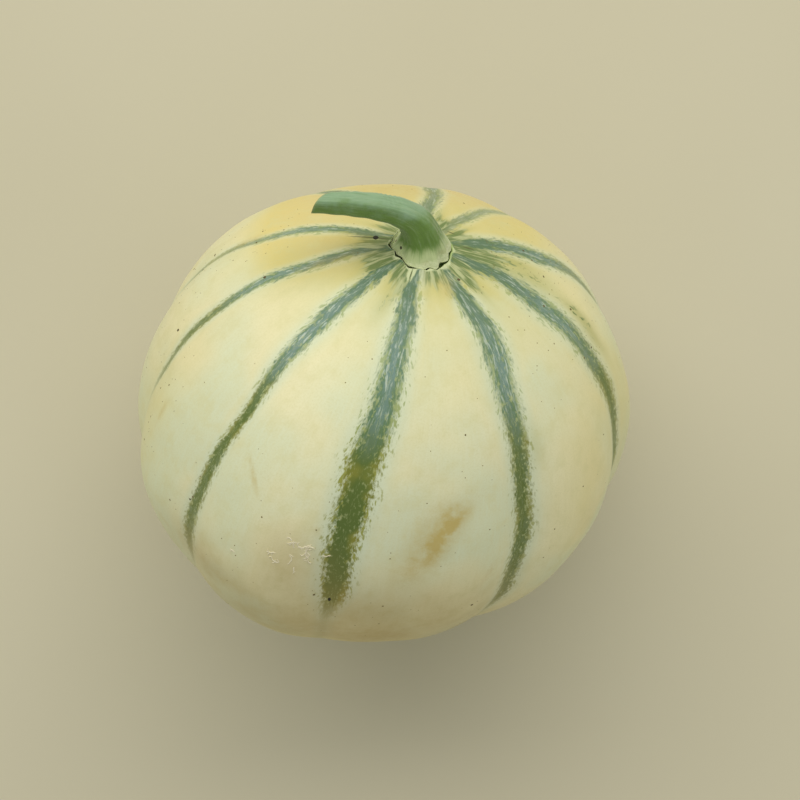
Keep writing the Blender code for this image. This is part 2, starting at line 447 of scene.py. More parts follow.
# Low lumps, pushed out along the surface's own direction.
lump = put(NOISE, {"Scale": given["Lump Scale"], "Detail": 1.0, "Roughness": 0.4})
lump = put("multiply", put("add", lump, -0.5), given["Lump Height"])
push = put("scale", {0: put("GeometryNodeInputNormal"), "Scale": lump})
skin_net = put("GeometryNodeSetPosition", {"Geometry": skin_net, "Offset": push})
end_tree(put, skin_net, given["Rind"])
print("fruit tree:", len(wrap.nodes), "nodes")

# %% Wrap the fruit
fruit = run_tree(wrap, flat_net, fruit_dials, "melon_rind")
upright = np.empty(len(fruit.data.vertices) * 3)
fruit.data.vertices.foreach_get("co", upright)
upright = upright.reshape(-1, 3)
print("upright fruit mm", np.round(np.ptp(upright, axis=0) / MM, 1))


# %% [markdown]
# ## Measuring the skin
# The rind's pattern follows the fruit, not the room: stripes run down the grooves, flecks point
# along them, and the blush lies on one shoulder. So before the fruit is laid down, its skin is
# measured: how far each point is along its rib, and how far across from the nearest groove.

# %% Distances along and across, in millimetres
skin_grid = upright[: rings * columns].reshape(rings, columns, 3)
first_outer = len(SEAT_RINGS)
steps = np.linalg.norm(np.diff(skin_grid, axis=0), axis=-1) / MM
along_mm = np.vstack([np.zeros((1, columns)), np.cumsum(steps, axis=0)])
along_mm += np.hypot(place_x, place_y)[first_outer] / MM - along_mm[first_outer]
along_mm[:first_outer] = along_mm[first_outer]
girth_mm = np.hypot(skin_grid[..., 0], skin_grid[..., 1]) / MM
print("crown to blossom end, mm:", round(float(along_mm[-1].mean()), 1))


# %% The same for every corner of a face
# The faces of one column all belong to the stripe in the nearer groove.
def corner_values(ring, column, step):
    """Signed distance across, distance along and stripe of the corners of some faces."""
    in_rib = column % COLUMNS_PER_RIB
    rib = column // COLUMNS_PER_RIB
    nearer_next = in_rib >= COLUMNS_PER_RIB // 2
    stripe = np.where(nearer_next, (rib + 1) % rib_count, rib)
    share_across = (in_rib + step) / COLUMNS_PER_RIB - np.where(nearer_next, 1, 0)
    at = (column + np.round(step).astype(int)) % columns
    return share_across * rib_width[rib] * girth_mm[ring, at], along_mm[ring, at], stripe


face_ring, face_column = np.meshgrid(np.arange(rings - 1), np.arange(columns), indexing="ij")
quad_ring = face_ring[..., None] + np.array([0, 1, 1, 0])
quad_column = face_column[..., None] + np.zeros(4, dtype=int)
fan = np.arange(columns)[:, None] + np.zeros(3, dtype=int)
corner_across, corner_along, corner_stripe = (
    np.concatenate([part.ravel() for part in parts])
    for parts in zip(
        corner_values(quad_ring, quad_column, np.array([0, 0, 1, 1])),
        corner_values(np.zeros_like(fan), fan, np.array([0.5, 0, 1])),
        corner_values(np.full_like(fan, rings - 1), fan, np.array([0.5, 1, 0])),
    )
)
print("corners", len(corner_across), "of", len(fruit.data.loops))

# %% [markdown]
# ## Ten stripes, each with its own habit
# The stripes hold chlorophyll that the ripening ribs have lost. They are broad and blue-green with
# wax on the side that saw the sun, and thin on the shaded side. Each has a half width and a
# strength, given at four distances along its rib, and they all meet in a star round the stalk.

# %% Stripe sizes
STRIPE_STATIONS = (9, 30, 60, 90)  # mm along the rib
# Half widths in mm and strengths at the stations, then where the stripe fades in mm. A strength
# over 1 fills a stripe in, until its pale holes are few.
STRIPES = (
    ((1.3, 1.2, 0.8, 0.7), (1.0, 0.85, 0.45, 0.25), 70),
    ((1.5, 1.3, 1.0, 0.8), (1.0, 0.95, 0.75, 0.35), 80),
    ((1.6, 1.8, 1.2, 1.6), (1.0, 1.00, 0.95, 0.80), 103),
    ((1.7, 2.4, 3.2, 2.5), (1.0, 1.00, 1.30, 1.20), 96),
    ((1.8, 2.6, 2.2, 1.9), (1.0, 0.95, 0.93, 0.86), 104),
    ((1.9, 2.8, 2.3, 1.3), (1.0, 0.95, 0.85, 0.60), 88),
    ((1.8, 2.3, 1.5, 0.9), (1.0, 1.00, 0.55, 0.30), 66),
    ((1.3, 1.2, 1.0, 0.8), (0.8, 0.55, 0.35, 0.25), 60),
    ((1.5, 1.9, 1.7, 1.3), (0.8, 0.80, 0.75, 0.55), 92),
    ((1.6, 1.7, 1.7, 1.5), (0.9, 0.90, 0.85, 0.70), 98),
)
stripe_vector = np.zeros((len(corner_across), 3))
for index, (half_widths, strengths, fade) in enumerate(STRIPES):
    mine = corner_stripe == index
    here = corner_along[mine]
    end = 1 - eased((here - fade + 9) / 16)
    wander = 0.45 * np.sin(here / 8.5 + 2.1 * index) + 0.25 * np.sin(here / 3.7 + 4.0 * index)
    corner_across[mine] += wander * eased((here - 12) / 15)
    half_width = np.interp(here, STRIPE_STATIONS, half_widths) * (0.35 + 0.65 * end)
    stripe_vector[mine, 0] = np.abs(corner_across[mine]) / half_width
    stripe_vector[mine, 1] = np.interp(here, STRIPE_STATIONS, strengths) * (0.10 + 0.90 * end)
    stripe_vector[mine, 2] = 17.0 * index + 5.0 * (corner_across[mine] > 0)

rib_map = fruit.data.uv_layers.new(name="rib_map")
rib_map.data.foreach_set(
    "uv", np.stack([corner_across, corner_along], axis=-1).astype(np.float32).ravel()
)
store(fruit.data, "stripe", stripe_vector, "FLOAT_VECTOR", "CORNER")
print("stripe reach from", stripe_vector[:, 0].min(), "to", stripe_vector[:, 0].max())


# %% [markdown]
# ## Blushes, tan marks, painted shade and streaks
# Soft marks are measured on the skin too. Each is a patch at a bearing and a distance along the
# rib, with a size across and along, and a turn. The shader breaks their edges up with noise.

# %% Soft marks
def patch(bearing, along, wide, long, turn=0.0):
    """Strength from 0 to 1 of a soft patch: bearing and turn in degrees, the rest in mm."""
    right = turned_from(net_bearing, bearing) * girth_mm
    below = along_mm - along
    cosine_turn, sine_turn = math.cos(math.radians(turn)), math.sin(math.radians(turn))
    across_patch = (right * cosine_turn + below * sine_turn) / wide
    along_patch = (below * cosine_turn - right * sine_turn) / long
    return np.exp(-(across_patch**2 + along_patch**2))


def patches(*rows):
    """Patches added up, each a strength and then what a patch takes."""
    return sum(strong * patch(*row) for strong, *row in rows)


# Orange-yellow blush: the shoulder behind the stalk, and the rim on the right.
blush = patches(
    (0.95, 205, 30, 34, 24), (0.5, 170, 45, 22, 30), (0.5, 250, 32, 20, 15), (0.34, 95, 62, 14, 30),
    (0.35, 12, 126, 60, 17), (0.26, 300, 80, 12, 24), (0.22, 70, 76, 9, 26), (0.40, 284, 27, 9, 12),
)
stain = patches(
    # A slanting tan smear of two streaks low on the front.
    (0.36, 28.6, 66.6, 1.2, 4.0, 46), (0.48, 25.4, 70.2, 1.8, 3.2, 35),
    (0.42, 25.9, 64.0, 1.1, 2.3, 42), (0.40, 23.2, 75.2, 2.8, 4.4, 18),
    (0.50, 23.6, 69.0, 5.0, 9.0, 38), (0.34, 18.6, 80.0, 3.8, 5.5, 30),
    # A thin scratch to its left, and a spot.
    (0.55, 337.5, 68.0, 0.6, 4.4, -41), (0.30, 355.8, 73.6, 1.2, 1.2),
    # Smaller healed spots near the crown and on the shaded side.
    (0.40, 34, 12.5, 2.0, 3.0), (0.35, 278, 18, 2.5, 7), (0.30, 297, 22, 1.6, 10),
    (0.40, 266.8, 44.8, 1.2, 4), (0.26, 212, 28, 14, 8), (0.35, 306, 76, 0.8, 4),
    (0.25, 39, 83.7, 0.9, 6, 25),
)
# Darker tan low on the front: smaller tan marks, and broad patches over the lower front rim that are
# painted shade.
tan_and_shade = patches(
    (0.5, 352, 82, 7.5, 8, 15), (0.5, 332, 98, 14, 7), (1.0, 8, 111, 46, 14), (0.6, 18, 94, 34, 13),
)
scar = np.exp(-(((math.pi - net_angle) * GROOVE_RADIUS / 0.0075) ** 2))

# The torn edge is broad where the crack gapes. Short dry slits beside it are stored below zero, so
# that the shader can tell them apart and paint them as dark lines of shade: bearing, distance along,
# length and turn.
SLITS = (
    (352.4, 10.2, 1.7, -8), (275.5, 13.0, 4.2, 0), (116.0, 10.0, 1.2, 10), (152.0, 8.6, 0.8, 60),
)
SLIT_WIDTH_MM, SLIT_STRENGTH = 0.13, 3.0
gape = np.clip(crack_gap(column_bearing) / MM, 0, 0.5) / 0.5
torn_width = 0.8 + 0.5 * np.sin(11 * column_bearing) * np.sin(4 * column_bearing + 1)
torn_width *= 0.30 + 0.8 * gape
torn = (0.55 + 0.45 * gape) * np.exp(-(along_mm - along_mm[0]) / torn_width)
torn += patches((1.1, 352.4, 10.2, 0.75, 2.4, -8))
for slit_bearing, along, long, turn in SLITS:
    torn -= SLIT_STRENGTH * patch(slit_bearing, along, SLIT_WIDTH_MM, long, turn)
torn[:first_outer] = np.linspace(0.0, 1.0, first_outer)[:, None] ** 2

# Short minor streaks that stand between the stripes round the crown, three on a broad rib.
BROAD_RIB = math.radians(38)
streak_rng = np.random.default_rng(5)
minor = np.zeros_like(along_mm)
for rib in range(rib_count):
    for part in (0.27, 0.5, 0.73) if rib_width[rib] > BROAD_RIB else (0.33, 0.68):
        streak_bearing = math.degrees(rib_start[rib] + rib_width[rib] * part)
        reach_mm = streak_rng.uniform(3.5, 8.0)
        strong = streak_rng.uniform(0.6, 1.0)
        minor += strong * patch(streak_bearing, 9.0, streak_rng.uniform(0.8, 1.5), reach_mm)
minor += patches(
    (0.62, 104, 24, 4.5, 10), (0.7, 110, 19, 1.1, 5.5, -8), (0.6, 101, 15, 0.9, 5),
    (0.7, 64, 14, 0.9, 6), (0.6, 346, 19, 1.8, 6), (0.30, 289, 31, 8, 9),
    (0.80, 309, 13.0, 2.6, 4.6), (0.62, 286, 13.5, 2.0, 6.5), (0.65, 101.5, 41, 1.9, 6),
    (0.6, 99, 48, 1.8, 7), (0.34, 53.5, 53, 2.1, 6),
)


def store_grid(mesh, name, parts, first=(0, 0, 0), last=(0, 0, 0)):
    """Store a vector for every point of a net, and for its two closing points."""
    grid = np.stack(np.broadcast_arrays(*parts), axis=-1).reshape(-1, 3)
    store(mesh, name, np.vstack([grid, [first], [last]]), "FLOAT_VECTOR")


store_grid(fruit.data, "marks", (blush, stain, tan_and_shade))
store_grid(fruit.data, "crown", (np.clip(minor, 0, 1), torn, scar), last=(0, 0, 1))
# Cell rows are read on a cylinder as wide as the fruit, drawn out to ten times its length.
ROW_RADIUS_MM, ROW_STRETCH = 58, 0.10
row_x, row_y = ROW_RADIUS_MM * np.sin(net_bearing), ROW_RADIUS_MM * np.cos(net_bearing)
store_grid(fruit.data, "streak_place", (row_x, row_y, ROW_STRETCH * along_mm))
print("strongest stain", round(float(stain.max()), 2), "and bruise", round(float(tan_and_shade.max()), 2))

# %% [markdown]
# ## Laying the fruit down
# The fruit lies part-way over, because the ground flattened one flank as it grew. It is leaned and
# turned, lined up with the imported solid, and the part that would sink into the ground is pressed
# flat with a soft edge, as the weight of the fruit did.

# %% Lie down, line up and flatten
GROUND_EDGE = 0.0005
lie = Matrix.Rotation(-TURN, 4, "Z") @ Matrix.Rotation(-LEAN, 4, "X")
turned = upright @ np.array(lie.to_3x3()).T
shape_low, shape_high = turned.min(axis=0), turned.max(axis=0)
middle = (np.array(fruit_low) + np.array(fruit_high) - shape_low - shape_high) / 2
middle[2] = fruit_high[2] - shape_high[2]
middle = Vector(middle)
laid = turned + np.array(middle)
laid[:, 2] = 0.5 * (laid[:, 2] + np.sqrt(laid[:, 2] ** 2 + GROUND_EDGE**2))
fruit.data.vertices.foreach_set("co", laid.astype(np.float32).ravel())
fruit.data.update()
to_world = Matrix.Translation(middle) @ lie  # from the upright fruit to where it lies
spot = laid[laid[:, 2] < 0.0004]
print("middle of the fruit, mm:", tuple(round(v / MM, 2) for v in middle))
print("ground spot, mm:", np.round(np.ptp(spot, axis=0)[:2] / MM, 1))


# %% [markdown]
# ## The rind
# A melon's rind is a skin of living cells under a thin natural wax, so it is smooth with a soft
# gloss. Ripening takes the green out of the ribs, which turn cream and yellow, and leaves it in the
# stripes. The pattern could be painted, but a rule holds from every side: each colour is laid over
# the last one through a mask, and each mask is a distance on the skin, roughened by noise.

# %% Where the rind is read
put = put_rind
place = put("ShaderNodeTexCoord", out="Object")  # metres, so a 20 mm patch is 1 / 0.020
rib_place = put("ShaderNodeUVMap", uv_map="rib_map")
across, down = (put(SPLIT, rib_place, out=axis) for axis in "XY")
skin_at = {}
for name, parts in (
    ("stripe", ("reach", "strength", "seed")), ("marks", ("blush", "stain", "tan_and_shade")),
    ("crown", ("minor", "torn", "scar")),
):
    stored = put(ATTRIBUTE, out="Vector", attribute_name=name)
    skin_at.update({part: put(SPLIT, stored, out=axis) for axis, part in zip("XYZ", parts)})
reach, strength = skin_at["reach"], skin_at["strength"]
row_place = put(ATTRIBUTE, out="Vector", attribute_name="streak_place")
print("rind reads", sorted(skin_at))

# %% Ripe ground colour
# Size of its patches in metres, detail and roughness of each noise. Pores are about 0.4 mm apart.
large, medium, mottling, healing, fine, pores = (
    put(NOISE, {"Vector": place, "Scale": 1 / size, "Detail": detail, "Roughness": rough})
    for size, detail, rough in (
        (0.028, 2.0, 0.5), (0.009, 3.0, 0.5), (0.0045, 4.0, 0.6), (0.0032, 3.0, 0.6),
        (0.0016, 4.0, 0.5), (0.0004, 2.0, 0.5),
    )
)
# Rows of cells are about 0.8 mm wide and 9 mm long.
rows = put(NOISE, {"Vector": row_place, "Scale": 1 / 0.9, "Detail": 2.0, "Distortion": 0.5})
near_stripe = put("ease", reach, 4.2, 1.0, 0, 0.85)
greener = put("maximum", put("ease", large, 0.38, 0.62), near_stripe)
straw = put("ease", put("multiply_add", medium, 0.22, skin_at["blush"]), 0.10, 0.72)
orange = put("ease", put("multiply", large, skin_at["blush"]), 0.16, 0.72, 0, 0.9)
row_tint = put(RANGE, rows, 0.35, 0.75, 0, 0.22)
mottle = put("ease", mottling, 0.45, 0.70, 0, 0.40)
pore_tint = put(RANGE, pores, 0.45, 0.75, 0, 0.28)
crown_tint = put("ease", down, 50.0, 12.0, 0, 0.55)
skin = coats(
    put, "#ebe5b5", (greener, "#dde3bc"), (straw, "#e2d180"), (orange, "#dcc682"),
    (row_tint, "#dcd69a"), (mottle, "#d9d59c"), (pore_tint, "#cfcb93"), (crown_tint, "#c9c684"),
)
print("nodes of the ripe ground:", len(rind.node_tree.nodes))

# %% [markdown]
# ## Feathered stripes
# A stripe isn't a line but a crowd of green cells, thick in the groove and thinner outwards. Its
# edge is feathered: short dashes about 0.5 mm wide and 3 mm long lean away from the stalk. Wax
# gives the upper half a blue-grey cast with whitish flecks. The lower half is olive, and mottled
# with pale holes about a millimetre wide.

# %% Stripe masks
# Four noises: what they read across, how far they are drawn out along, scale, detail, roughness.
leaning = put("multiply_add", down, -0.22, put("absolute", across))
dashes, barbs, flecks, blobs = (
    put(
        NOISE,
        {"Vector": put(JOIN, side, put("multiply", down, squeeze), skin_at["seed"]),
         "Scale": scale, "Detail": detail, "Roughness": rough},
    )
    for side, squeeze, scale, detail, rough in (
        (leaning, 0.17, 1.1, 2.0, 0.55), (leaning, 0.42, 1.35, 2.0, 0.55),
        (across, 0.17, 1.8, 3.0, 0.6), (across, 0.55, 1.5, 3.0, 0.6),
    )
)

lower = put("ease", put("multiply_add", medium, 16.0, down), 44.0, 68.0)
upper_edge, lower_edge = (put(MIX, {0: 0.5, 2: marks, 3: barbs}) for marks in (dashes, blobs))
edge_noise = put(MIX, {0: lower, 2: upper_edge, 3: lower_edge})
rough_reach = put("add", reach, put("multiply_add", edge_noise, 3.4, -1.7))
core = put("multiply", put("ease", rough_reach, 1.42, 0.50), strength)

clumps = put("multiply_add", dashes, 0.55, barbs)
feather = put("multiply_add", reach, -0.12, clumps)
feather = put("ease", feather, 0.64, 0.80, 0, 0.80)
feather = put("multiply", feather, put("ease", reach, 2.5, 1.2))
feather = put("multiply", feather, strength)

halo = put("multiply", put("ease", reach, 2.6, 1.0, 0, 0.6), strength)
middle_line = put("ease", rough_reach, 0.75, 0.05, 0, 0.85)
crown_dark = put("ease", down, 34.0, 14.0, 0, 0.75)
pale_fleck = put("ease", flecks, 0.52, 0.67, 0, 0.8)
pale_fleck = put("multiply", pale_fleck, put("subtract", 1.0, lower))
pale_fleck = put("multiply", pale_fleck, put(RANGE, down, 10.0, 30.0, 0.45, 1.0))
hole = put("ease", put("multiply_add", reach, 0.07, blobs), 0.56, 0.69, 0, 0.8)
hole = put("multiply", hole, put(RANGE, down, 18.0, 42.0))
hole = put("multiply", hole, put(RANGE, strength, 1.0, 1.3, 1.0, 0.5))
gold = put("ease", put("multiply_add", reach, 0.30, medium), 0.62, 0.92, 0, 0.85)
gold = put("multiply", gold, lower)
print("nodes with the stripe masks:", len(rind.node_tree.nodes))

# %% Stripe colours over the ground
core_green = coats(
    put, "#5f7f58", (middle_line, "#6f8c82"), (crown_dark, "#55714a"), (pale_fleck, "#bfcdb8"),
    (lower, "#586c24"), (gold, "#8b892c"), (hole, "#adb67a"),
)
feather_green = coats(put, "#93a464", (lower, "#979b46"))
skin = coats(put, skin, (halo, "#d0dcbc"), (feather, feather_green), (core, core_green))
print("nodes with the stripes:", len(rind.node_tree.nodes))

# %% [markdown]
# ## Crown, stains, scars and painted shade
# Round the stalk the stripes join in a green star, with shorter streaks between them and a yellow
# tint in the gaps. The torn edge is pale, because it shows the skin's inner cells. Older marks are
# tan, where the skin healed with cork. The lower front rim is darkened with painted shade.

# %% Crown and marks
off_stripe = put("subtract", 1.0, core)
star_patch = put("ease", put("multiply_add", rows, 0.7, dashes), 0.70, 1.00)
star = put("multiply", put("ease", down, 13.5, 8.5, 0, 0.8), star_patch)
streaks = put(
    NOISE,
    {"Vector": row_place, "Scale": 1 / 5.0, "Detail": 2.5, "Roughness": 0.55, "Distortion": 0.8},
)
streaks = put("ease", put("add", streaks, dashes), 0.94, 1.22)
star_green = coats(put, "#567048", (streaks, "#bfc8a4"))
# The minor streaks lie in a soft olive wash, and away from the crown they break up into flecks.
wash = put(RANGE, skin_at["minor"], 0.02, 0.80, 0, 0.60)
wash = put("multiply", wash, off_stripe)
unbroken = put(RANGE, down, 24.0, 14.0)
broken = put("maximum", put(RANGE, barbs, 0.40, 0.64), unbroken)
minor_streak = put("multiply", put("multiply", skin_at["minor"], dashes), broken)
minor_streak = put("ease", minor_streak, 0.16, 0.36, 0, 0.9)
minor_green = coats(put, "#667c42", (streaks, "#b3ba86"))
yellow = put("ease", down, 28.0, 9.0, 0, 0.6)
yellow = put("multiply", yellow, put("ease", medium, 0.42, 0.62))
yellow = put("multiply", yellow, off_stripe)
tan = put(RANGE, put("multiply", skin_at["stain"], healing), 0.02, 0.40, 0, 0.80)
# Painted shade: a darker tan over the lower front rim, with some smaller real tan marks.
lower_tan_and_shade = put("multiply_add", medium, 0.4, 0.3)
lower_tan_and_shade = put(RANGE, put("multiply", skin_at["tan_and_shade"], lower_tan_and_shade), 0.04, 0.60, 0, 0.75)
torn_pale = put("ease", put("multiply", skin_at["torn"], fine), 0.12, 0.34, 0, 0.9)
# Painted shade: each short slit is drawn as a dark line for the shade inside a crack with no depth.
slit_shade = put("ease", skin_at["torn"], -0.25, -1.1, 0, 0.85)
inside = put("ease", down, 6.5, 5.0)
corky = put("ease", put("multiply", skin_at["scar"], fine), 0.10, 0.45)
skin = coats(
    put, skin, (yellow, "#c9bd62"), (star, star_green), (wash, "#a2a65e"),
    (minor_streak, minor_green), (torn_pale, "#cdd6a4"), (tan, "#c2a94e"), (lower_tan_and_shade, "#ab9350"),
    (corky, "#b9a06c"), (inside, "#9abb5c"), (slit_shade, "#565a32"),
)
print("nodes with the crown and marks:", len(rind.node_tree.nodes))

# %% Wax and fine relief
# Rind scatters a little light at its wax, so its gloss is broad. Cork stands up more than wax.
relief = put("multiply_add", rows, 1.5, pores)
relief = put("multiply", relief, put("multiply_add", skin_at["scar"], 6.0, 1.0))
bump = put("ShaderNodeBump", {"Height": relief, "Strength": 0.35, "Distance": 0.00006})
gloss = put(RANGE, fine, 0.3, 0.7, 0.40, 0.52)
end_material(
    put, Base_Color=skin, Roughness=gloss, IOR=1.44, Normal=bump, Coat_Weight=0.08,
    Coat_Roughness=0.35,
)
print("rind nodes:", len(rind.node_tree.nodes))


# %% [markdown]
# ## The stalk
# The stalk was cut from the vine a few centimetres above the fruit. It stands on a flared foot,
# rises, bends over and ends in a slanting cut. It is a tube along a bent line, so it is made as
# rings on that line. The foot's edge follows the crack in the fruit, less the width of the gap.

# %% Sizes of the stalk
NECK_LEAN, BEND_START, BEND_END = 0.0026, 0.0085, 0.0070
STEM_REACH, STEM_RISE = 0.0295, 0.0122
STEM_END_RADIUS = 0.0024
SIDE_SWAY = 0.0011
CUT_SWING, CUT_TIP = math.radians(-33), math.radians(15)
CUT_HEEL, CUT_BULGE = 0.0022, 0.0005  # the cut end has dried to a rounded shape
STEM_GIRTH = np.array(
    [(0, 0.0070), (0.03, 0.0062), (0.09, 0.0047), (0.18, 0.0039), (0.35, 0.0032), (0.60, 0.0028),
     (1, 0.0024)]
)
STEM_SIDES = 72
COURSE_STEPS = 130
bend_points = [
    Vector((x, 0, z))
    for x, z in (
        (0, 0), (NECK_LEAN - FOOT_OFFSET, BEND_START), (BEND_END - FOOT_OFFSET, STEM_RISE),
        (STEM_REACH - FOOT_OFFSET, STEM_RISE),
    )
]
course = np.array(interpolate_bezier(*bend_points, COURSE_STEPS))
course[:, 1] += SIDE_SWAY * np.linspace(0, 1, COURSE_STEPS) ** 3  # it droops a little to one side
course_steps = np.linalg.norm(np.diff(course, axis=0), axis=1)
course_share = np.concatenate([[0], np.cumsum(course_steps)]) / course_steps.sum()
length_mm = course_steps.sum() / MM
print("stalk length mm", round(length_mm, 1))

# %% Rings of the stalk
side_angle = np.arange(STEM_SIDES) * math.tau / STEM_SIDES
foot_edge = crack_edge(side_angle + STEM_BEARING) - crack_gap(side_angle + STEM_BEARING)
direction = np.gradient(course, axis=0)
direction /= np.linalg.norm(direction, axis=1, keepdims=True)
direction[0] = (0, 0, 1)
outward = np.cross((0, 1, 0), direction)
stem_girth = np.interp(course_share, STEM_GIRTH[:, 0], STEM_GIRTH[:, 1])
stem_girth = np.convolve(np.pad(stem_girth, 3, mode="edge"), np.ones(7) / 7, mode="valid")

around = side_angle[None, :]
rise_share = course_share[:, None]
# Five soft ridges carry the vessels, and finer lines run between them.
wrinkles = 0.045 * np.cos(5 * around + 0.6 + 0.8 * rise_share)
wrinkles += (
    0.012 * np.cos(17 * around - 2.0 * rise_share) + 0.010 * np.cos(3 * around + 6 * rise_share)
)
# The inside of the bend is creased, and the whole stalk is a little knobbly above its foot.
fold = np.exp(-(((rise_share - 0.48) / 0.07) ** 2)) * np.clip(-np.cos(around - 0.35), 0, 1) ** 3
wrinkles += 0.035 * fold * np.sin(210 * rise_share + 2 * np.sin(3 * around))
wrinkles += 0.020 * np.sin(38 * rise_share + 1.5 * np.sin(around)) * (rise_share > 0.12)
stem_radius = stem_girth[:, None] * (1 + wrinkles * eased(rise_share / 0.12))
to_foot = 1 - eased(rise_share / 0.10)
stem_radius = stem_radius + (foot_edge - FOOT_RADIUS) * to_foot
spokes = outward[:, None, :] * np.cos(around)[..., None]
spokes = spokes + np.array((0, 1, 0)) * np.sin(around)[..., None]
stem_rings = course[:, None, :] + spokes * stem_radius[..., None]
# The foot's edge sits level with the skin, which falls away a little from the crown.
stem_rings[:, :, 2] -= to_foot * 0.0004
print("foot edge mm", round(foot_edge.min() / MM, 2), "to", round(foot_edge.max() / MM, 2))

# %% Cut the end at a slant, and close both ends
FOOT_DEPTH = 0.0020
knife = Matrix.Rotation(CUT_SWING, 3, "Z") @ Matrix.Rotation(-CUT_TIP, 3, "Y") @ Vector((1, 0, 0))
cut_at = course[-1] - np.array((STEM_END_RADIUS * math.tan(-CUT_SWING) * 1.2 + 0.0009, 0, 0))
past = np.tensordot(stem_rings[-1] - cut_at, np.array(knife), axes=1) / knife[0]
cut_side = np.sin(side_angle + math.pi / 4)  # 1 at the tip of the cut, -1 at its heel
past += CUT_HEEL * np.clip(-cut_side, 0, 1) ** 6 - CUT_BULGE * (1 - cut_side**2)
stem_rings[:, :, 0] -= past[None, :] * eased((rise_share - 0.62) / 0.38)
cut_ring = stem_rings[-1]
cut_middle = cut_ring.mean(axis=0)
inward = -0.00035 * np.array(knife)  # the pith dries and sinks a little
end_rings = [
    cut_middle + (cut_ring - cut_middle) * scale + inward * sink
    for scale, sink in ((0.955, -0.10), (0.90, 0.15), (0.62, 0.8), (0.30, 1.0))
]
foot_circle = np.stack([np.cos(side_angle), np.sin(side_angle), np.zeros(STEM_SIDES)], axis=-1)
foot_rings = [
    foot_circle * (foot_edge * scale)[:, None] - np.array((0, 0, drop))
    for scale, drop in (
        (0.35, FOOT_DEPTH), (0.72, FOOT_DEPTH), (0.80, 0.0019), (0.89, 0.0013), (0.955, 0.0008),
        (0.988, 0.0004),
    )
]
foot_count, end_count = len(foot_rings), len(end_rings)
stem_points = np.concatenate([np.array(foot_rings), stem_rings, np.array(end_rings)])
print("stalk rings", len(stem_points))

# %% The stalk's mesh and its values
poles = np.array([(0, 0, -FOOT_DEPTH), cut_middle + inward])
stem_mesh = net_mesh("green_stalk", stem_points.reshape(-1, 3), STEM_SIDES, poles)
row_share = np.concatenate([np.zeros(foot_count), course_share, np.ones(end_count)])[:, None]
back_side = 0.5 - 0.5 * np.cos(side_angle - 0.45)[None, :]  # 1 on the outside of the bend
# Bluish wax on the outside of the bend, which faces up; its paler colour there is partly a painted
# highlight.
bloom_and_highlight_share = back_side * eased((row_share - 0.10) / 0.25)
cut_value = np.zeros_like(row_share)
cut_value[-end_count:] = 1.0
cut_value[-end_count - 1] = 0.5
# The cells of the stalk lie in long rows too, read on a thinner cylinder.
line_length = ROW_STRETCH * length_mm
store_grid(
    stem_mesh, "stalk_place",
    (3.0 * np.cos(around), 3.0 * np.sin(around), line_length * row_share), last=(0, 0, line_length),
)
store_grid(
    stem_mesh, "stalk_marks", (bloom_and_highlight_share, 1 - eased(row_share / 0.18), cut_value),
    first=(0, 1, 0), last=(0, 0, 1),
)
foot_frame = (
    to_world
    @ Matrix.Rotation(STEM_BEARING - math.pi / 2, 4, "Z")
    @ Matrix.Translation((FOOT_OFFSET, 0, CROWN_HEIGHT))
)
stem_mesh.transform(foot_frame)
stalk = new_object("green_stalk", stem_mesh)
box_corners = np.array([tuple(corner) for corner in stalk.bound_box])
for side_name, look, solid in zip(
    ("low", "high"), (box_corners.min(axis=0), box_corners.max(axis=0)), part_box("stem")
):
    print("stalk", side_name, np.round(look, 4), "solid's", tuple(solid))

# %% [markdown]
# ## The stalk's skin
# A green stalk is living plant tissue: soft, faintly ridged and downy. A bluish bloom of wax lies
# on the outside of the bend, which faces up to the light, and its paler colour there is partly a
# painted highlight. The shaded side is olive, and the foot dries to a pale grey-green with a
# whitish torn edge. The cut end has browned.

# %% Green stalk material
green, put = new_material("downy_green_stalk")
place = put("ShaderNodeTexCoord", out="Object")
line_place, stored = (
    put(ATTRIBUTE, out="Vector", attribute_name=name) for name in ("stalk_place", "stalk_marks")
)
wax_bloom_and_highlight, foot_part, cut_part = (put(SPLIT, stored, out=axis) for axis in "XYZ")
soft, fine = (
    put(NOISE, {"Vector": place, "Scale": 1 / size, "Detail": 3.0}) for size in (0.0035, 0.0006)
)
lines = put(NOISE, {"Vector": line_place, "Scale": 2.2, "Detail": 3.0, "Roughness": 0.6})
# The bloom mask is partly a painted highlight on the stalk's upper side.
wax_bloom_and_highlight = put("ease", put("multiply_add", soft, 1.1, wax_bloom_and_highlight), 0.75, 1.40)
dark_line = put(RANGE, lines, 0.50, 0.75, 0, 0.35)
pale_line = put(RANGE, lines, 0.48, 0.25, 0, 0.32)
foot_pale = put("multiply_add", lines, 0.9, foot_part)
foot_pale = put("ease", foot_pale, 0.80, 1.38, 0, 0.95)
foot_brown = put("ease", put("multiply", soft, foot_part), 0.45, 0.65, 0, 0.35)
foot_rim = put("multiply_add", fine, 0.20, foot_part)
foot_rim = put("ease", foot_rim, 0.99, 1.11, 0, 0.85)
stalk_colour = coats(
    put, "#648532", (wax_bloom_and_highlight, "#86a67d"), (dark_line, "#52702c"), (pale_line, "#a3b78c"),
    (foot_pale, "#bac88e"), (foot_brown, "#a3925f"), (foot_rim, "#d6deae"), (cut_part, "#a0a268"),
)
relief = put("multiply_add", lines, 1.2, fine)
bump = put("ShaderNodeBump", {"Height": relief, "Strength": 0.5, "Distance": 0.00012})
end_material(
    put, Base_Color=stalk_colour, Roughness=0.55, IOR=1.42, Normal=bump, Sheen_Weight=0.25,
    Sheen_Roughness=0.5,
)
stalk.data.materials.append(green)
print("stalk nodes:", len(green.node_tree.nodes))

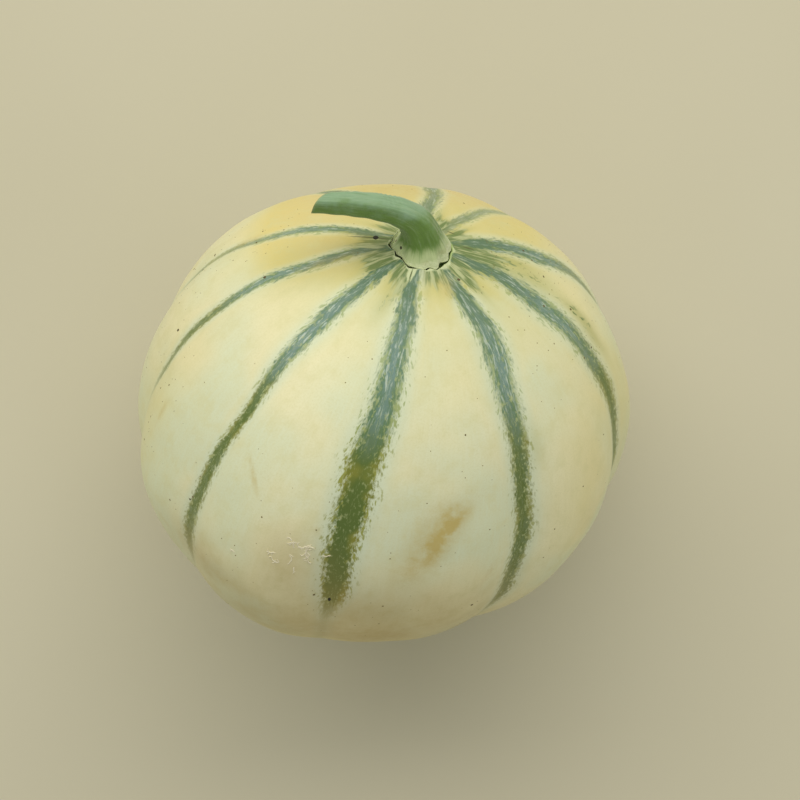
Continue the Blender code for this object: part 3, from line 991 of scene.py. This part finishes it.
# %% [markdown]
# ## Specks on the skin
# Every melon grown on soil carries specks: breathing pores that healed with cork, grit, and the
# pricks of insects. Each is a flattened, slightly uneven blob, half sunk in the rind. The known
# ones each have a place of their own, and the rest are scattered in loose crowds by a fixed seed.

# %% Places on the skin
laid_points = laid[: rings * columns].reshape(rings, columns, 3)
skin_normals = np.empty(len(fruit.data.vertices) * 3)
fruit.data.vertices.foreach_get("normal", skin_normals)
skin_normals = skin_normals.reshape(-1, 3)[: rings * columns].reshape(rings, columns, 3)


def skin_spot(bearing, along, right=0.0, down=0.0):
    """Point and normal of the skin at a bearing in degrees and a distance along in mm.

    The point may be moved by a few mm to the right and down, in the skin's own plane.
    """
    away = turned_from(net_bearing, bearing)
    rest = (away * girth_mm) ** 2 + (along_mm - along) ** 2
    rest[:first_outer] = np.inf
    ring, column = np.unravel_index(np.argmin(rest), rest.shape)
    point, normal = laid_points[ring, column], skin_normals[ring, column]
    below = laid_points[min(ring + 1, rings - 1), column] - laid_points[ring - 1, column]
    below /= np.linalg.norm(below)
    right_mm = right - away[ring, column] * girth_mm[ring, column]
    down_mm = down + along - along_mm[ring, column]
    return point + (np.cross(below, normal) * right_mm + below * down_mm) * MM, normal


print("crown side of the skin, mm:", np.round(skin_spot(0, 20)[0] / MM, 1))

# %% Choose the specks
# Bearing in degrees, distance along in mm, width in mm.
KNOWN_SPECKS = (
    (275.3, 11.8, 1.15), (324.6, 85.2, 0.70), (325.6, 84.0, 0.45), (289.5, 64.6, 0.65),
    (2.0, 91.7, 0.95), (359.0, 91.0, 0.55), (28.8, 46.9, 0.50), (54.8, 11.4, 0.65),
    (109.5, 30.2, 0.60), (124.5, 26.6, 0.60), (118.7, 28.0, 0.55), (94.8, 47.9, 0.60),
    (101.0, 38.4, 0.55), (92.0, 30.7, 0.55), (88.0, 46.6, 0.45), (263.8, 41.6, 0.45),
    (269.5, 41.7, 0.60), (264.2, 57.0, 0.60), (268.8, 60.3, 0.45), (263.2, 67.4, 0.50),
    (279.2, 64.8, 0.40), (292.5, 37.9, 0.65), (265.2, 35.2, 0.40), (299.0, 74.6, 0.45),
    (302.0, 70.8, 0.50), (301.2, 82.0, 0.45), (303.2, 88.8, 0.45), (343.8, 75.9, 0.36),
    (339.5, 86.6, 0.30), (340.2, 89.0, 0.30), (355.8, 73.3, 0.40), (319.5, 91.0, 0.45),
    (348.5, 40.5, 0.35), (29.0, 56.5, 0.26), (20.0, 62.2, 0.30), (36.0, 94.5, 0.60),
    (37.8, 70.3, 0.35), (55.5, 86.2, 0.40), (57.7, 77.9, 0.40), (68.8, 71.4, 0.40),
    (14.0, 76.7, 0.35), (14.5, 99.5, 0.35), (15.0, 91.7, 0.40), (25.0, 28.1, 0.30),
    (15.8, 34.3, 0.30), (81.2, 65.2, 0.35), (170.5, 26.5, 0.50),
)
# Crowds: bearing, distance along, spread across in degrees, spread along in mm, how many.
CROWDS = (
    (112, 32, 16, 11, 80), (128, 52, 18, 16, 60), (75, 30, 12, 14, 22), (268, 45, 9, 14, 46),
    (296, 76, 10, 10, 34), (345, 90, 26, 10, 22), (30, 85, 30, 22, 14), (210, 50, 60, 30, 90),
    (0, 60, 180, 40, 60), (180, 120, 180, 25, 90),
)
CROWD_SPAN = (16, 160)  # mm along the rib
CROWD_WIDTH, CROWD_WIDTH_SPREAD = 0.17, 0.055  # mm
FOOT_PITS = ((11, 4, 0.85), (9, 70, 0.55))  # on the stalk's foot: ring, side and width in mm
speck_rng = np.random.default_rng(23)
speck_rows = list(KNOWN_SPECKS)
for crowd_bearing, along, wide, long, count in CROWDS:
    for turn_step, long_step, width_step in speck_rng.normal(size=(count, 3)):
        speck_along = float(np.clip(along + long * long_step, *CROWD_SPAN))
        width = CROWD_WIDTH + CROWD_WIDTH_SPREAD * abs(width_step)
        speck_rows.append((crowd_bearing + wide * turn_step, speck_along, width))
speck_spots = [skin_spot(b % 360, a) for b, a, _ in speck_rows]
for ring, side, width in FOOT_PITS:
    foot_point = stalk.data.vertices[(foot_count + ring) * STEM_SIDES + side]
    speck_rows.append((0, 0, width))
    speck_spots.append((np.array(foot_point.co), np.array(foot_point.normal)))
speck_mesh = bpy.data.meshes.new("speck_places")
speck_mesh.from_pydata([tuple(point) for point, _ in speck_spots], [], [])
store(speck_mesh, "facing", [normal for _, normal in speck_spots], "FLOAT_VECTOR")
store(speck_mesh, "width", [width * MM for _, _, width in speck_rows])
print("specks:", len(speck_rows))

# %% Cork material
# Cork is dead brown tissue, dull and dry. The broad specks are grit and pricks, so they are darker.
cork, put = new_material("dry_brown_cork")
broad = put(RANGE, put(ATTRIBUTE, out="Fac", attribute_name="width"), 0.0003, 0.0009)
end_material(put, Base_Color=coats(put, "#857645", (broad, "#2c2a1b")), Roughness=0.85)
print("cork nodes:", len(cork.node_tree.nodes))

# %% The specks' node tree, and the specks
speck_dials = {"Flatness": 0.28, "Unevenness": 0.00008, "Seed": 4, "Cork": cork}
tree, put, given = new_tree("corky_specks", speck_dials)
blob = put("GeometryNodeMeshUVSphere", {"Segments": 8, "Rings": 5, "Radius": 0.5})
squash = put(JOIN, 1.0, 1.0, given["Flatness"])
blob = put("GeometryNodeTransform", {"Geometry": blob, "Scale": squash})
facing = put(NAMED, {"Name": "facing"}, data_type="FLOAT_VECTOR")
speck_width = put(NAMED, {"Name": "width"}, data_type="FLOAT")
stretch = put(
    "FunctionNodeRandomValue",
    {0: (0.75, 0.75, 0.8), 1: (1.35, 1.35, 1.2), "Seed": given["Seed"]}, data_type="FLOAT_VECTOR",
)
blobs_placed = put(
    "GeometryNodeInstanceOnPoints",
    {"Points": given["Geometry"], "Instance": blob,
     "Rotation": put("FunctionNodeAlignRotationToVector", {"Vector": facing}, axis="Z"),
     "Scale": put("scale", {0: stretch, "Scale": speck_width})},
)
# The blobs are made real first, so that the noise can push the points of each one by itself.
blobs_placed = put("GeometryNodeRealizeInstances", {"Geometry": blobs_placed})
uneven = put(NOISE, {"Scale": 1 / 0.0004, "Detail": 1.0}, out=1)
uneven = put("move", uneven, (-0.5, -0.5, -0.5))
uneven = put("scale", {0: uneven, "Scale": given["Unevenness"]})
blobs_placed = put("GeometryNodeSetPosition", {"Geometry": blobs_placed, "Offset": uneven})
end_tree(put, blobs_placed, given["Cork"])
specks = run_tree(tree, speck_mesh, speck_dials, "skin_specks")
print("speck faces:", len(specks.data.polygons))

# %% [markdown]
# ## Fine cork ridges
# Low on the front the skin once split, and healed with thin pale ridges that wander and branch.
# This is the start of the netting that other melons wear all over. Each ridge is a short wandering
# line on the skin, with a thin uneven cord swept along it.

# %% Wandering lines
RIDGE_STEP = 0.28  # mm
RIDGE_WIDTH = 0.36  # mm
BRANCH_CHANCE, BRANCH_FROM = 0.20, 1.3  # at each step, on lines longer than this many mm
ridge_rng = np.random.default_rng(9)
# Starts of the ridges: bearing in degrees, distance along in mm, heading in degrees, length in mm.
RIDGE_STARTS = (
    (354.0, 77.8, 95, 4.4), (353.6, 79.0, 150, 4.6), (352.6, 79.4, 60, 3.4),
    (351.6, 81.6, 110, 3.4), (355.6, 81.8, 15, 3.6), (349.6, 82.6, 10, 2.6),
    (349.8, 77.4, 150, 1.6), (354.6, 80.4, 125, 2.6), (357.8, 79.2, 170, 1.6),
    (350.0, 84.6, 30, 2.6), (340.6, 88.4, 30, 1.6), (353.2, 84.4, 80, 1.8),
)
ridge_lines = []
growing = [
    (start, along, 0.0, 0.0, math.radians(heading), length, RIDGE_WIDTH)
    for start, along, heading, length in RIDGE_STARTS
]
while growing:
    start, along, right, below, heading, length, width = growing.pop()
    line = []
    for _ in range(max(3, round(length / RIDGE_STEP))):
        line.append(skin_spot(start, along, right, below))
        if length > BRANCH_FROM and ridge_rng.random() < BRANCH_CHANCE:
            branch = heading + ridge_rng.choice((-1, 1)) * ridge_rng.uniform(0.7, 1.4)
            growing.append((start, along, right, below, branch, length * 0.45, width * 0.75))
        heading += ridge_rng.normal() * 0.5
        right += RIDGE_STEP * math.cos(heading)
        below += RIDGE_STEP * math.sin(heading)
    ridge_lines.append((line, width))

ridge_places, ridge_edges, ridge_widths = [], [], []
for line, width in ridge_lines:
    first = len(ridge_places)
    for step, (point, normal) in enumerate(line):
        thick = width * MM * math.sin(math.pi * (step + 0.7) / (len(line) + 0.4)) ** 0.6
        ridge_places.append(tuple(point - normal * thick * 0.18))
        ridge_widths.append(thick * ridge_rng.uniform(0.7, 1.2))
    ridge_edges += [(at, at + 1) for at in range(first, first + len(line) - 1)]
ridge_mesh = bpy.data.meshes.new("ridge_lines")
ridge_mesh.from_pydata(ridge_places, ridge_edges, [])
store(ridge_mesh, "width", ridge_widths)
print("ridge lines:", len(ridge_lines))

# %% Pale cork material, the ridges' node tree, and the ridges
# Young cork over a healed split is paler than the rind, dry, and a little grainy.
pale_cork = mottled_material("young_pale_cork", 0.0012, 2.0, "#f0e9cb", "#d8cfa8", Roughness=0.8)

ridge_dials = {"Ridge Sides": 6, "Cork": pale_cork}
tree, put, given = new_tree("cork_ridges", ridge_dials)
paths = put("GeometryNodeMeshToCurve", {"Mesh": given["Geometry"]})
rope = put(
    "GeometryNodeCurvePrimitiveCircle", {"Resolution": given["Ridge Sides"], "Radius": 0.5},
    mode="RADIUS",
)
swept = put(
    "GeometryNodeCurveToMesh",
    {"Curve": paths, "Profile Curve": rope, "Fill Caps": True,
     "Scale": put(NAMED, {"Name": "width"}, data_type="FLOAT")},
)
end_tree(put, swept, given["Cork"])
ridges = run_tree(tree, ridge_mesh, ridge_dials, "cork_ridges")
print("ridge faces:", len(ridges.data.polygons))

# %% [markdown]
# ## Down on the stalk
# The stalk is downy: short soft hairs stand out from it all over, and catch the light along its
# edges. A hair is a slim three-sided spike, scattered over the stalk by Geometry Nodes and tilted
# at random. Real hairs are finer than these, which are as thin as still shows.

# %% Down material, the down's node tree, and the hairs
# Plant hairs are thin-walled and nearly clear, so they look whitish and soft against the stalk.
down_look = mottled_material(
    "soft_plant_down", 0.002, 1.0, "#93a878", "#b4c29c", Roughness=0.6, Sheen_Weight=0.2
)
down_dials = {
    "Hairs Per Square Metre": 3.2e6, "Hair Length": 0.00042, "Hair Radius": 0.000022, "Seed": 8,
    "Down": down_look,
}
TILT = 0.55
tree, put, given = new_tree("stalk_down", down_dials)
scatter = put(
    "GeometryNodeDistributePointsOnFaces",
    {"Mesh": given["Geometry"], "Density": given["Hairs Per Square Metre"], "Seed": given["Seed"]},
).node
spike = put(
    "GeometryNodeMeshCone",
    {"Vertices": 3, "Radius Top": 0.0, "Radius Bottom": given["Hair Radius"],
     "Depth": given["Hair Length"]},
)
tilt = put(
    "FunctionNodeRandomValue", {0: (-TILT,) * 3, 1: (TILT,) * 3, "Seed": given["Seed"]},
    data_type="FLOAT_VECTOR",
)
lean = put("move", scatter.outputs["Normal"], tilt)
hair_size = put("FunctionNodeRandomValue", {2: 0.5, 3: 1.15, "Seed": 3}, out=1, data_type="FLOAT")
hairs = put(
    "GeometryNodeInstanceOnPoints",
    {"Points": scatter.outputs["Points"], "Instance": spike, "Scale": hair_size,
     "Rotation": put("FunctionNodeAlignRotationToVector", {"Vector": lean}, axis="Z")},
)
end_tree(put, hairs, given["Down"])
stalk_down = run_tree(tree, stalk.data.copy(), down_dials, "stalk_down")
print("down faces:", len(stalk_down.data.polygons))


# %% [markdown]
# ## Floor, light and camera
# The fruit lies on a plain pale floor, under soft light from a broad window high on the far side,
# with an even sky. The camera looks almost straight down, tipped by a few degrees.

# %% Floor
FLOOR_HALF = 3.0
floor_mesh = bpy.data.meshes.new("floor")
floor_sides = ((-1, -1), (1, -1), (1, 1), (-1, 1))
floor_corners = [(x * FLOOR_HALF, y * FLOOR_HALF, 0) for x, y in floor_sides]
floor_mesh.from_pydata(floor_corners, [], [(0, 1, 2, 3)])
floor = new_object("floor", floor_mesh)
# A board rolled with matt paint, a little uneven over a hand's width.
matt = mottled_material("matt_painted_board", 0.15, 2.0, "#cdc8ac", "#c3bd9f", Roughness=0.9)
floor.data.materials.append(matt)
print("floor", 2 * FLOOR_HALF, "m wide")

# %% Light
SKY_STRENGTH = 0.54
WINDOW_PLACE = Vector((-0.05, 0.75, 0.98))
WINDOW_WATTS = 13.0
world = bpy.data.worlds.new("even_sky")
world.use_nodes = True
sky = world.node_tree.nodes["Background"]
sky.inputs["Color"].default_value = linear("#fbfcff")
sky.inputs["Strength"].default_value = SKY_STRENGTH
bpy.context.scene.world = world
window = bpy.data.lights.new("window", "AREA")
window.shape = "RECTANGLE"
window.size = 2.2
window.size_y = 0.9
window.energy = WINDOW_WATTS
window.color = linear("#fffaf2")[:3]
window_lamp = new_object("window", window)
window_lamp.matrix_world = Matrix.Translation(WINDOW_PLACE) @ (
    (Vector((0, 0, 0.05)) - WINDOW_PLACE).to_track_quat("-Z", "Y").to_matrix().to_4x4()
)
bpy.context.scene.view_settings.view_transform = "Standard"  # hex colours stay as they are given
print("window at", tuple(round(v, 2) for v in WINDOW_PLACE))

# %% Camera
CAMERA_TIP = math.radians(6.5)  # how far it is tipped from straight down
CAMERA_AWAY = 0.4914
CAMERA_SIDE, CAMERA_UP = 0.00457, 0.00523
camera_up = Vector((0, math.cos(CAMERA_TIP), math.sin(CAMERA_TIP)))
camera_back = Vector((0, -math.sin(CAMERA_TIP), math.cos(CAMERA_TIP)))
camera_place = (
    middle + Vector((CAMERA_SIDE, 0, 0)) + camera_up * CAMERA_UP + camera_back * CAMERA_AWAY
)
lens = bpy.data.cameras.new("camera")
lens.lens = 90
lens.sensor_width = 36
camera = new_object("camera", lens)
axes_of_camera = Matrix((Vector((1, 0, 0)), camera_up, camera_back)).transposed()
camera.matrix_world = Matrix.Translation(camera_place) @ axes_of_camera.to_4x4()
bpy.context.scene.camera = camera
print("camera at", tuple(round(v, 4) for v in camera_place))

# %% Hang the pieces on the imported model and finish
for piece, node, slot in (
    (fruit, "melon_fruit", "rind"),
    (specks, "melon_fruit", "rind"),
    (ridges, "melon_fruit", "rind"),
    (stalk, "stem", "stem"),
    (stalk_down, "stem", "stem"),
):
    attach(piece, "root")
    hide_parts(node)
